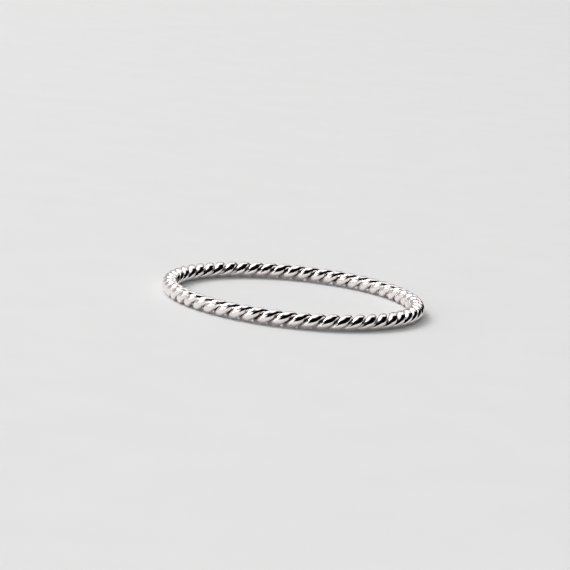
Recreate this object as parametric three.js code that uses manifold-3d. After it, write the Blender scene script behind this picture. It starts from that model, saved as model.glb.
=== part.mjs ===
// A slim stacking ring: two silver wires twisted into a rope, drawn even, bent round and soldered shut.
// Units are millimetres, +Z is up, and the ring lies on its side with its finger axis along Z.
// The origin is the centre of the ring on the surface that it lies on.
import * as THREE from "three";
import { mergeVertices } from "three/addons/utils/BufferGeometryUtils.js";
import Module from "manifold-3d";

const wasm = await Module();
wasm.setup();

// Driving dimensions
const fingerDiameter = 17.3; // inside diameter of a US size 7 ring
const ropeDiameter = 1.2; // the finished rope, over the crests of its two strands
const wireDiameter = 0.62; // each round strand as it was twisted, before the rope goes through a draw plate
const plateSharpness = 4; // how hard the plate presses the crests to its round hole: more is flatter
const fullTurns = 27; // turns of the twist round the whole ring
const burnish = 0.03; // how far the crests on each side of the ring are worn flat
const solderDepth = 0.12; // radius that the solder fills in the groove between the strands

// Fineness of the facets
const sectionsPerTurn = 8;
const arcPoints = 7; // points on the round outside of each strand
const grooveAngle = (60 * Math.PI) / 180; // where a strand's round outside starts, from the rope's axis

// Worked out from those
const wireRadius = wireDiameter / 2;
const ropeRadius = ropeDiameter / 2;
const pathRadius = fingerDiameter / 2 + ropeRadius;
const restHeight = ropeRadius - burnish; // from the surface to the rope's centreline
const bandHeight = 2 * restHeight;
const twistPerMm = fullTurns / pathRadius; // radians of twist for each millimetre of rope

// How far from the rope's axis a point of the twisted wires ends up once the rope is drawn. The plate caps
// the crests smoothly near the rope's radius, and the whole is scaled so that they reach it, which leaves
// the strands fuller than round wires and the grooves narrower.
function drawnReach(reach) {
  const press = (r) => (r ** -plateSharpness + ropeRadius ** -plateSharpness) ** (-1 / plateSharpness);
  return (ropeRadius * press(reach)) / press(wireDiameter);
}

// One strand's outline in a flat cut across the rope. The strand climbs steeply, so the cut through the
// round wire is a bean that hugs the rope's axis. alpha runs round the wire, from 0 at that axis, and lag is
// how far the climb turns each point of the wire about the axis by the time that it crosses the cut.
function strandPoint(alpha) {
  const climb = Math.hypot(1, wireRadius * twistPerMm);
  const outward = wireRadius - wireRadius * Math.cos(alpha);
  const sideways = (wireRadius * Math.sin(alpha)) / climb;
  const lag = (wireRadius * wireRadius * twistPerMm ** 2 * Math.sin(alpha)) / climb;
  const point = new THREE.Vector2(outward, -sideways).rotateAround(new THREE.Vector2(), -lag);
  return point.setLength(drawnReach(point.length()));
}

// The whole rope's outline: for each strand the bottom of the groove before it, then its round outside.
function ropeOutline() {
  const outline = [];
  for (const side of [0, Math.PI]) {
    const strand = [new THREE.Vector2(0, -solderDepth)];
    for (let i = 0; i < arcPoints; i++) {
      const share = i / (arcPoints - 1);
      strand.push(strandPoint(THREE.MathUtils.lerp(grooveAngle, 2 * Math.PI - grooveAngle, share)));
    }
    outline.push(...strand.map((p) => p.rotateAround(new THREE.Vector2(), side)));
  }
  return outline;
}

// The outline carried round the ring and turned by the twist, as one closed surface with no ends. Each
// patch is split along the diagonal that runs with the rope, which keeps the crests of the strands full.
function ropeGeometry() {
  const outline = ropeOutline();
  const sections = fullTurns * sectionsPerTurn;
  const positions = [];
  const triangles = [];
  const vertexAt = (section, corner) =>
    (section % sections) * outline.length + (corner % outline.length);
  for (let section = 0; section < sections; section++) {
    const around = (2 * Math.PI * section) / sections;
    outline.forEach((point, corner) => {
      const turned = point.clone().rotateAround(new THREE.Vector2(), fullTurns * around);
      const radius = pathRadius + turned.x;
      positions.push(radius * Math.cos(around), radius * Math.sin(around), restHeight + turned.y);
      const here = vertexAt(section, corner);
      const next = vertexAt(section, corner + 1);
      const ahead = vertexAt(section + 1, corner);
      const aheadNext = vertexAt(section + 1, corner + 1);
      triangles.push(here, ahead, next, next, ahead, aheadNext);
    });
  }
  const geometry = new THREE.BufferGeometry();
  geometry.setAttribute("position", new THREE.Float32BufferAttribute(positions, 3));
  geometry.setIndex(triangles);
  return geometry;
}

// A closed geometry as a manifold-3d solid.
function solidOf(geometry) {
  const bare = geometry.clone();
  bare.deleteAttribute("normal");
  bare.deleteAttribute("uv");
  const merged = mergeVertices(bare, 1e-4);
  return new wasm.Manifold(
    new wasm.Mesh({
      numProp: 3,
      vertProperties: merged.getAttribute("position").array,
      triVerts: new Uint32Array(merged.index.array),
    }),
  );
}

// A manifold-3d solid as a geometry.
function geometryOf(solid) {
  const mesh = solid.getMesh();
  const geometry = new THREE.BufferGeometry();
  geometry.setAttribute("position", new THREE.BufferAttribute(mesh.vertProperties, mesh.numProp));
  geometry.setIndex(new THREE.BufferAttribute(mesh.triVerts, 1));
  geometry.computeVertexNormals();
  return geometry;
}

// The rope with the crests on its two sides worn to small flats, which it lies and stacks on.
function bandGeometry() {
  const across = 2 * (pathRadius + 2 * ropeRadius);
  const slab = new THREE.BoxGeometry(across, across, bandHeight);
  slab.translate(0, 0, bandHeight / 2);
  return geometryOf(solidOf(ropeGeometry()).intersect(solidOf(slab)));
}

const silver = new THREE.MeshStandardMaterial({ color: 0xf3f1ec, metalness: 1, roughness: 0.12 });

const twistedBand = new THREE.Mesh(bandGeometry(), silver);
twistedBand.name = "twisted_band";

const ring = new THREE.Group();
ring.add(twistedBand);

export default ring;
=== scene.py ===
# %% [markdown]
# # A twisted silver stacking ring
#
# This lesson builds one slim finger ring. A jeweller twists two round silver wires into a rope, bends it
# into a hoop and solders the ends. The lesson takes it that the rope was also pulled through a draw plate
# to even it out, which is a guess from its full strands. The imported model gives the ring's size and
# place. Blender adds what the eye reads as silver: full round strands with tight grooves between them, a
# polish with small flaws, and a studio worth reflecting.

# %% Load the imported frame
import math
from collections import namedtuple

import bpy
import numpy as np
from mathutils import Matrix, Vector


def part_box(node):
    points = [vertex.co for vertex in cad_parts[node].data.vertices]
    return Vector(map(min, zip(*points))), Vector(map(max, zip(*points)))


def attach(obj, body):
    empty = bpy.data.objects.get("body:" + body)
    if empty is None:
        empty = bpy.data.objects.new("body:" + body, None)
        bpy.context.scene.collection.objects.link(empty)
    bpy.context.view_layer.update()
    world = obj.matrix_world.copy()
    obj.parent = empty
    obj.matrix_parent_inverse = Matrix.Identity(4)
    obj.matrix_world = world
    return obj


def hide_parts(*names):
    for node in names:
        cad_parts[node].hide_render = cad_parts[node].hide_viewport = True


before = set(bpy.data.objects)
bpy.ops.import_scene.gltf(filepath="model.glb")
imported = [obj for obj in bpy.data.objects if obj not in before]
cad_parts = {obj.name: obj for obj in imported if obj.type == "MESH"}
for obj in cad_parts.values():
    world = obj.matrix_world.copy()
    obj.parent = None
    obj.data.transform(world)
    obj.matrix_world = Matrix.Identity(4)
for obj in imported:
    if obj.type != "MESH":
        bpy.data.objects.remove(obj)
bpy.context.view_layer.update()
MM = 0.001  # Blender works in metres, a jeweller in millimetres

# %% [markdown]
# ## Sizes
#
# The band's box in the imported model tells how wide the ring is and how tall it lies. The rope is 1.2 mm
# over its two strands, so the circle that the rope follows comes from that box. The rope turns 27 times
# on its way round, and each turn shows two crests, one of each strand. The number of turns is a choice:
# anything from 26.5 to 28 would suit such a ring about as well.

# %% Measure the band
band_low, band_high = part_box("twisted_band")
rope_radius = 1.2 * MM / 2
path_radius = band_high.x - rope_radius
centre_height = (band_low.z + band_high.z) / 2
full_turns = 27
twist_per_metre = full_turns / path_radius
print(f"rope {2 * rope_radius / MM:.2f} mm thick on a circle of {path_radius / MM:.2f} mm radius")

# %% [markdown]
# ## Camera
#
# The camera looks from the front, a little above the ring's own plane, and leans to one side so that the
# ring slopes across the picture. A lens with a narrow view, used from further off, keeps the near side of
# the hoop from looking swollen. Everything stays in focus, because a blurred edge would hide the twist.

# %% Place the camera
camera_azimuth = math.radians(1.06)
camera_elevation = math.radians(10.8)
camera_roll = math.radians(6.0)
lens_mm = 180.0
sensor_mm = 36.0
view_width = 42.6 * MM  # how much the picture takes in across, at the ring
ring_right_of_centre = 0.62 * MM
ring_below_centre = 0.76 * MM


def make_camera():
    data = bpy.data.cameras.new("camera")
    data.lens = lens_mm
    data.sensor_width = sensor_mm
    camera = bpy.data.objects.new("camera", data)
    bpy.context.scene.collection.objects.link(camera)
    distance = view_width * lens_mm / sensor_mm
    back = Vector((0, -math.cos(camera_elevation), math.sin(camera_elevation)))
    back.rotate(Matrix.Rotation(camera_azimuth, 3, "Z"))
    level = back.to_track_quat("Z", "Y").to_matrix()
    turn = level @ Matrix.Rotation(camera_roll, 3, "Z")
    aim = Vector((0, 0, centre_height)) + turn @ Vector((-ring_right_of_centre, ring_below_centre, 0))
    camera.matrix_world = Matrix.Translation(aim + back * distance) @ turn.to_4x4()
    data.clip_start = distance / 100
    data.clip_end = distance * 50
    bpy.context.scene.camera = camera
    return distance


print(f"camera {make_camera() / MM:.0f} mm away")

# %% [markdown]
# ## One strand's outline
#
# Two tubes swept along helices would be the first idea, but they would run through each other at the
# rope's axis and leave two shells. A single skin is cleaner, so this step works out the outline of a flat
# cut across the rope. The cut slices each climbing wire at a slant, which makes it bean shaped: the
# formula walks round the wire and finds where each of its points crosses the cut.
#
# The draw plate then presses the crests to its round hole, which makes the strands fuller and the grooves
# narrower. A smooth cap on how far the outline reaches does the same, scaled so that the crests come out
# at the rope's own radius.

# %% Work out the outline
points_on_strand = 31
groove_start = math.radians(48)  # the solder leaves the wire free here, measured from the rope's axis
twisted_radius = 0.31 * MM  # of each wire as it was twisted
plate_sharpness = 4  # higher presses the crests flatter


def strand_outline():
    """Reach from the rope's axis and angle about it, for points that run round one strand."""
    around_wire = np.linspace(groove_start, 2 * math.pi - groove_start, points_on_strand)
    slope = twisted_radius * twist_per_metre
    climb = math.hypot(1, slope)
    outward = twisted_radius * (1 - np.cos(around_wire))
    sideways = -twisted_radius * np.sin(around_wire) / climb
    lag = -(slope**2) * np.sin(around_wire) / climb
    reach = np.hypot(outward, sideways)
    capped = (reach**-plate_sharpness + rope_radius**-plate_sharpness) ** (-1 / plate_sharpness)
    return capped * rope_radius / capped.max(), np.arctan2(sideways, outward) + lag


strand_reach, strand_angle = strand_outline()
print(f"grooves go down to {strand_reach[0] / MM:.2f} mm from the rope's axis")

# %% [markdown]
# ## Uneven twist
#
# Wire twisted by hand is never quite even. The whole rope runs a few degrees ahead or behind along the
# way, and one strand drifts against the other, so that crests come out a little wider and narrower. Sums
# of sines that fit a whole number of waves round the ring give that, with no seam where the rope closes.

# %% Let the strands drift
Wave = namedtuple("Wave", "count phase share")
shared_drift = math.radians(6)
shared_waves = (Wave(5, 1.1, 1.0), Wave(13, 0.3, 0.5))
strand_drift = math.radians(9)
strand_waves = (Wave(3, 0.4, 1.0), Wave(7, 2.1, 0.6))


def drift(around, most, waves):
    total = sum(wave.share * np.sin(wave.count * around + wave.phase) for wave in waves)
    return most * total / sum(wave.share for wave in waves)


print(f"drift of up to {math.degrees(shared_drift + strand_drift / 2):.0f} degrees of twist")

# %% [markdown]
# ## Sweeping the rope
#
# The outline is carried round the circle and turned as it goes. A whole number of turns makes the end
# meet the start. Where a crest would reach past the side of the band, it is worn flat: tumbling, wear and
# stacking do this to the real ring, and it is what the ring lies on.

# %% Sweep the outline round the ring
sections_per_turn = 40
outline_corners = 2 * points_on_strand


def rope_points():
    around = np.linspace(0, 2 * math.pi, full_turns * sections_per_turn, endpoint=False)
    twist = full_turns * around + drift(around, shared_drift, shared_waves)
    apart = drift(around, strand_drift, strand_waves)
    halves = []
    for side, lean in ((0.0, 0.5), (math.pi, -0.5)):
        turned = strand_angle + (side + twist + lean * apart)[:, None]
        out = path_radius + strand_reach * np.cos(turned)
        up = centre_height + strand_reach * np.sin(turned)
        across = out * np.cos(around)[:, None]
        deep = out * np.sin(around)[:, None]
        halves.append(np.stack([across, deep, up], axis=2))
    return np.concatenate(halves, axis=1)


free_points = rope_points()
points = free_points.copy()
points[:, :, 2] = np.clip(free_points[:, :, 2], band_low.z, band_high.z)
print(f"wear takes {(free_points[:, :, 2].max() - band_high.z) / MM:.3f} mm off the highest crest")

# %% [markdown]
# ## The skin
#
# Neighbouring outlines are joined with quads. Every edge belongs to two faces, so the skin is closed and
# needs no caps. Smooth shading hides the facets.

# %% Build the mesh


def build_band():
    sections = len(points)
    section, corner = np.meshgrid(np.arange(sections), np.arange(outline_corners), indexing="ij")
    here = section * outline_corners
    ahead = (section + 1) % sections * outline_corners
    next_corner = (corner + 1) % outline_corners
    quads = np.stack([here + corner, ahead + corner, ahead + next_corner, here + next_corner], axis=2)
    mesh = bpy.data.meshes.new("silver_band")
    mesh.from_pydata(points.reshape(-1, 3).tolist(), [], quads.reshape(-1, 4).tolist())
    mesh.polygons.foreach_set("use_smooth", [True] * len(mesh.polygons))
    piece = bpy.data.objects.new("silver_band", mesh)
    bpy.context.scene.collection.objects.link(piece)
    return piece


band = build_band()
print("band:", len(band.data.vertices), "points,", len(band.data.polygons), "quads")

# %% [markdown]
# ## What the finish needs to know
#
# A finish that follows the wire has to know where on the wire it is. A UV map could say so, but it would
# need a seam. Three numbers stored on the points say it without one: how far round the wire a point lies,
# how deep in the groove, and whether it has been worn flat.

# %% Store the places on the wire
polish_reach = 0.46 * MM  # a polishing mop gets down to here, from the rope's axis


def store(mesh, name, values):
    layer = mesh.attributes.new(name, "FLOAT", "POINT")
    layer.data.foreach_set("value", np.asarray(values, dtype=np.float32).ravel())
    print(f"{name}: {values.min():.5f} to {values.max():.5f}")


steps = np.hypot(np.diff(strand_reach), strand_reach[1:] * np.diff(strand_angle))
round_wire = np.concatenate([[0.0], np.cumsum(steps)])
both_wires = np.concatenate([round_wire, round_wire + 2 * round_wire[-1]])
depth = np.clip((polish_reach - strand_reach) / (polish_reach - strand_reach.min()), 0, 1)
every_section = (len(points), 1)
store(band.data, "round_wire", np.tile(both_wires, every_section))
store(band.data, "groove", np.tile(np.concatenate([depth, depth]), every_section))
store(band.data, "worn", (free_points[:, :, 2] != points[:, :, 2]).astype(float))

# %% [markdown]
# ## Helpers for materials
#
# Colours are written as sRGB hex values, as a paint program shows them, and shaders want linear light.
# One function turns the first into the second. Another adds any node, with its settings and its links.

# %% Define the helpers


def linear(hex_colour, strength=1.0):
    channels = [int(hex_colour[i : i + 2], 16) / 255 for i in (1, 3, 5)]
    light = [c / 12.92 if c <= 0.04045 else ((c + 0.055) / 1.055) ** 2.4 for c in channels]
    return [strength * c for c in light] + [1.0]


def add_node(tree, kind, settings=None, inputs=None):
    node = tree.nodes.new(kind)
    for name, value in (settings or {}).items():
        setattr(node, name, value)
    for name, value in (inputs or {}).items():
        if isinstance(value, bpy.types.NodeSocket):
            tree.links.new(value, node.inputs[name])
        else:
            node.inputs[name].default_value = value
    return node


print("mid grey in linear light:", round(linear("#808080")[0], 3))

# %% [markdown]
# ## Marks on the silver
#
# The wire was drawn, twisted, soldered and tumbled with steel shot. Drawing leaves faint lines along the
# wire. The shot peens the skin into very shallow dimples, which make the edges of reflections waver.
# Handling adds fine scratches. Each is a noise whose scale comes from its real size. The drawn lines are
# stretched along the wire by letting the place along the rope count for little and the place round the
# wire for much.

# %% Make the mark patterns
drawn_line = 0.05 * MM  # really about 0.01 mm apart, drawn coarser so that a render can show them
drawn_length = 3.0 * MM
dimple = 0.22 * MM
scratch = 0.04 * MM  # really a few thousandths wide, drawn coarser for the same reason
ridge_share = 0.1  # a ridge of the scratch noise is about a tenth as wide as a cell of it


def mark_patterns(tree):
    """One noise for each kind of mark, all from 0 to 1, laid out by the place in metres."""
    place = add_node(tree, "ShaderNodeTexCoord").outputs["Object"]
    round_wire = add_node(tree, "ShaderNodeAttribute", {"attribute_name": "round_wire"}).outputs["Fac"]
    x, y, _ = add_node(tree, "ShaderNodeSeparateXYZ", inputs={0: place}).outputs
    stretched = add_node(tree, "ShaderNodeCombineXYZ")
    stretches = (("X", x, drawn_length), ("Y", y, drawn_length), ("Z", round_wire, drawn_line))
    for socket, source, size in stretches:
        scaled = add_node(tree, "ShaderNodeMath", {"operation": "DIVIDE"}, {0: source, 1: size})
        tree.links.new(scaled.outputs[0], stretched.inputs[socket])
    lines = add_node(
        tree,
        "ShaderNodeTexNoise",
        inputs={"Vector": stretched.outputs[0], "Scale": 1.0, "Detail": 2.0, "Roughness": 0.6},
    )
    dimples = add_node(
        tree,
        "ShaderNodeTexNoise",
        inputs={"Vector": place, "Scale": 1 / dimple, "Detail": 1.0, "Roughness": 0.4},
    )
    scratches = add_node(
        tree,
        "ShaderNodeTexNoise",
        {"noise_type": "RIDGED_MULTIFRACTAL"},
        {"Vector": place, "Scale": ridge_share / scratch, "Detail": 3.0, "Roughness": 0.7, "Distortion": 1.5},
    )
    return lines.outputs["Fac"], dimples.outputs["Fac"], scratches.outputs["Fac"]


print(f"drawn lines {drawn_line / MM} mm, dimples {dimple / MM} mm, scratches {scratch / MM} mm")

# %% [markdown]
# ## Polished sterling silver
#
# Sterling silver is 92.5 parts silver to 7.5 of copper. Polished, it mirrors nearly all the light, a
# little warm, so its colour is close to white and its roughness is low. The mop and the shot don't reach
# the grooves, so the silver is duller there, and the grooves get a dull brown grey as painted shade that
# draws a line between the strands. The worn flats are scuffed, because they rub on tables and on the next
# ring. A metal keeps the shader's default IOR, because its base colour already says how much it reflects.

# %% Make the silver
bright_silver = "#FAF5F3"
# painted shade: this dark grey stands in for the shade down in the grooves between the strands
groove_painted_shade = "#57504A"
polish_roughness = 0.045
dull_roughness = 0.42
scuffed_roughness = 0.2
line_roughness = 0.03  # what the drawn lines add at most
scratch_roughness = 0.02  # what the scratches add at most
groove_shade_start = 0.72  # how deep in the groove the painted shade begins, with the ragged edge added
groove_shade_full = 1.15
ragged_edge = 0.5  # how far the dimples push that edge about
drawn_line_height = 0.0004 * MM
dimple_height = 0.0035 * MM


def polished_silver():
    material = bpy.data.materials.new("polished_sterling_silver")
    material.use_nodes = True
    tree = material.node_tree
    surface = tree.nodes["Principled BSDF"]
    surface.inputs["Metallic"].default_value = 1.0
    lines, dimples, scratches = mark_patterns(tree)
    groove = add_node(tree, "ShaderNodeAttribute", {"attribute_name": "groove"}).outputs["Fac"]
    worn = add_node(tree, "ShaderNodeAttribute", {"attribute_name": "worn"}).outputs["Fac"]

    # Painted shade darkens the groove and the polish dulls there, with a ragged edge where the polish stops
    edge = {0: dimples, 1: ragged_edge, 2: groove}
    ragged = add_node(tree, "ShaderNodeMath", {"operation": "MULTIPLY_ADD"}, edge)
    groove_shade_and_dulling = add_node(
        tree,
        "ShaderNodeMapRange",
        {"interpolation_type": "SMOOTHSTEP"},
        {"Value": ragged.outputs[0], "From Min": groove_shade_start, "From Max": groove_shade_full},
    ).outputs["Result"]
    colour = add_node(
        tree,
        "ShaderNodeMix",
        {"data_type": "RGBA"},
        {"Factor": groove_shade_and_dulling, 6: linear(bright_silver), 7: linear(groove_painted_shade)},
    )
    tree.links.new(colour.outputs[2], surface.inputs["Base Color"])

    # Each fault that dulls the polish adds its share of roughness
    roughness = polish_roughness
    for pattern, extra in (
        (groove_shade_and_dulling, dull_roughness - polish_roughness),
        (worn, scuffed_roughness - polish_roughness),
        (lines, line_roughness),
        (scratches, scratch_roughness),
    ):
        share = {0: pattern, 1: extra, 2: roughness}
        dulled = add_node(tree, "ShaderNodeMath", {"operation": "MULTIPLY_ADD"}, share)
        roughness = dulled.outputs[0]
    tree.links.new(roughness, surface.inputs["Roughness"])

    # The relief of the marks, the finest first
    relief = add_node(tree, "ShaderNodeBump", inputs={"Height": lines, "Distance": drawn_line_height})
    relief = add_node(
        tree,
        "ShaderNodeBump",
        inputs={"Height": dimples, "Distance": dimple_height, "Normal": relief.outputs[0]},
    )
    tree.links.new(relief.outputs[0], surface.inputs["Normal"])
    return material


band.data.materials.append(polished_silver())
print("silver uses", len(band.data.materials[0].node_tree.nodes), "nodes")

# %% [markdown]
# ## Where the band belongs
#
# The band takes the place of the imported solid, which stays behind it for size and collisions. It is the
# whole ring, so it rides on the only body.

# %% Tie the band to the frame
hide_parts("twisted_band")
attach(band, "root")
print("silver_band rides on root")

# %% [markdown]
# ## The table
#
# The ring lies on plain pale card. Card is matt and nearly white, with a very slight mottle from its
# fibres. It must not compete with the ring, but a floor with no change at all looks like nothing, and
# silver takes half of its look from what it lies on.

# %% Lay the floor
card_half_width = 400 * MM
card_mottle = 6 * MM
card_light = "#E2E2E2"
card_dark = "#DDDDDD"
card_roughness = 0.85
card_specular = 0.2


def pale_card():
    material = bpy.data.materials.new("pale_card")
    material.use_nodes = True
    tree = material.node_tree
    surface = tree.nodes["Principled BSDF"]
    surface.inputs["Roughness"].default_value = card_roughness
    surface.inputs["Specular IOR Level"].default_value = card_specular
    place = add_node(tree, "ShaderNodeTexCoord").outputs["Object"]
    mottle = {"Vector": place, "Scale": 1 / card_mottle, "Detail": 3.0}
    fibres = add_node(tree, "ShaderNodeTexNoise", inputs=mottle)
    colour = add_node(
        tree,
        "ShaderNodeMix",
        {"data_type": "RGBA"},
        {"Factor": fibres.outputs["Fac"], 6: linear(card_dark), 7: linear(card_light)},
    )
    tree.links.new(colour.outputs[2], surface.inputs["Base Color"])
    return material


def make_floor():
    reach = card_half_width
    corners = [(-reach, -reach, 0), (reach, -reach, 0), (reach, reach, 0), (-reach, reach, 0)]
    mesh = bpy.data.meshes.new("floor")
    mesh.from_pydata(corners, [], [(0, 1, 2, 3)])
    mesh.materials.append(pale_card())
    floor = bpy.data.objects.new("floor", mesh)
    bpy.context.scene.collection.objects.link(floor)
    floor.location.z = band_low.z
    return floor


print("floor at height", make_floor().location.z)

# %% [markdown]
# ## The studio
#
# Polished silver has almost no colour of its own: it shows the room. So the room is built from soft-edged
# panels on the sky, each a patch between two azimuths and two elevations. Azimuth 0 is towards the camera
# and grows to the right. A dark part of the room at the front right gives each crest its black slash, and
# a large white ceiling gives the white above it.

# %% Describe the panels
Panel = namedtuple("Panel", "name left right bottom top blur colour strength")
wall_colour = "#C4C0BF"
panels = (
    Panel("dark room at the front right", -26, 150, -4, 68, 5, "#060608", 1.0),
    Panel("dark beam at the front left", -60, -20, 42, 64, 8, "#3C3C3E", 1.0),
    Panel("bright card at the front left", -90, -28, -4, 36, 8, "#FFFFFF", 1.25),
    Panel("dark skirting behind", 100, 260, -4, 14, 6, "#202022", 1.0),
    Panel("ceiling", -400, 400, 72, 130, 6, "#FFFFFF", 1.2),
    Panel("window behind, right", 138, 300, 28, 130, 12, "#FFFFFF", 1.2),
    Panel("window behind, left", -300, -140, 28, 130, 12, "#FFFFFF", 1.2),
)


def panel_mask(tree, azimuth, elevation, panel):
    """1 inside the panel and 0 outside, with a soft edge."""
    edges = []
    spans = ((azimuth, panel.left, panel.right), (elevation, panel.bottom, panel.top))
    for value, start, end in spans:
        for edge, inward in ((start, 1), (end, -1)):
            low = math.radians(edge - panel.blur * inward / 2)
            high = math.radians(edge + panel.blur * inward / 2)
            settings = {"interpolation_type": "SMOOTHSTEP"}
            inputs = {"Value": value, "From Min": low, "From Max": high}
            ramp = add_node(tree, "ShaderNodeMapRange", settings, inputs)
            edges.append(ramp.outputs["Result"])
    mask = edges[0]
    for edge in edges[1:]:
        mask = add_node(tree, "ShaderNodeMath", {"operation": "MULTIPLY"}, {0: mask, 1: edge}).outputs[0]
    return mask


print(len(panels), "panels:", ", ".join(panel.name for panel in panels))

# %% [markdown]
# ## The sky shader
#
# The world shader turns each direction into an azimuth and an elevation and lays the panels over the
# wall's grey. A real ceiling is never one even white, so a slow noise makes the sky lighter and darker by
# patches, which streaks the white on the crests. Rays that come straight from the camera see a plain pale
# backdrop instead, so that a low view has no panels behind the ring.

# %% Paint the studio
backdrop = "#E2E2E2"
patches_across_sky = 5.0
dimmest_patch = 0.55
brightest_patch = 1.25
noise_low = 0.35  # nearly all of the noise lies between these two
noise_high = 0.65


def make_world():
    world = bpy.data.worlds.new("studio")
    bpy.context.scene.world = world
    world.use_nodes = True
    tree = world.node_tree
    tree.nodes.clear()
    direction = add_node(tree, "ShaderNodeTexCoord").outputs["Generated"]
    x, y, z = add_node(tree, "ShaderNodeSeparateXYZ", inputs={0: direction}).outputs
    forward = add_node(tree, "ShaderNodeMath", {"operation": "MULTIPLY"}, {0: y, 1: -1.0}).outputs[0]
    azimuth = add_node(tree, "ShaderNodeMath", {"operation": "ARCTAN2"}, {0: x, 1: forward}).outputs[0]
    elevation = add_node(tree, "ShaderNodeMath", {"operation": "ARCSINE"}, {0: z}).outputs[0]
    colour = linear(wall_colour)
    for panel in panels:
        mask = panel_mask(tree, azimuth, elevation, panel)
        light = linear(panel.colour, panel.strength)
        mix = add_node(tree, "ShaderNodeMix", {"data_type": "RGBA"}, {"Factor": mask, 6: colour, 7: light})
        colour = mix.outputs[2]
    clouds = add_node(
        tree, "ShaderNodeTexNoise", inputs={"Vector": direction, "Scale": patches_across_sky, "Detail": 2.0}
    )
    patchy = add_node(
        tree,
        "ShaderNodeMapRange",
        inputs={
            "Value": clouds.outputs["Fac"],
            "From Min": noise_low,
            "From Max": noise_high,
            "To Min": dimmest_patch,
            "To Max": brightest_patch,
        },
    )
    brightness = {0: colour, "Scale": patchy.outputs[0]}
    colour = add_node(tree, "ShaderNodeVectorMath", {"operation": "SCALE"}, brightness).outputs[0]
    from_camera = add_node(tree, "ShaderNodeLightPath").outputs["Is Camera Ray"]
    inputs = {"Factor": from_camera, 6: colour, 7: linear(backdrop)}
    seen = add_node(tree, "ShaderNodeMix", {"data_type": "RGBA"}, inputs)
    sky = add_node(tree, "ShaderNodeBackground", inputs={"Color": seen.outputs[2]})
    add_node(tree, "ShaderNodeOutputWorld", inputs={"Surface": sky.outputs[0]})
    return len(tree.nodes)


print("sky uses", make_world(), "nodes")
bpy.context.scene.view_settings.view_transform = "Standard"

# %% [markdown]
# ## The lamps
#
# The sky alone would light the ring from everywhere and leave no shadow. A square area lamp at the left,
# a little behind, stands for the window's own light: it puts a soft shadow at the ring's foot and makes
# the table a little lighter towards itself. A weaker one in front fills that shadow, because silver shows
# the table below it, and a dark table would turn the lower half of the band dull. The fill is kept out of
# reflections.

# %% Hang the lamps
Lamp = namedtuple("Lamp", "name azimuth elevation distance size watts in_reflections")
lamps = (
    Lamp("window_lamp", -115, 48, 1500 * MM, 750 * MM, 15.0, True),
    Lamp("fill_lamp", 5, 24, 1200 * MM, 800 * MM, 4.5, False),
)


def hang(lamp):
    data = bpy.data.lights.new(lamp.name, "AREA")
    data.shape = "SQUARE"
    data.size = lamp.size
    data.energy = lamp.watts
    hung = bpy.data.objects.new(lamp.name, data)
    bpy.context.scene.collection.objects.link(hung)
    side, height = math.radians(lamp.azimuth), math.radians(lamp.elevation)
    level = math.cos(height)
    out = Vector((level * math.sin(side), -level * math.cos(side), math.sin(height)))
    hung.location = out * lamp.distance
    hung.rotation_euler = out.to_track_quat("Z", "Y").to_euler()
    hung.visible_glossy = lamp.in_reflections
    return hung


for lamp in lamps:
    print(lamp.name, "at", [round(v, 2) for v in hang(lamp).location])
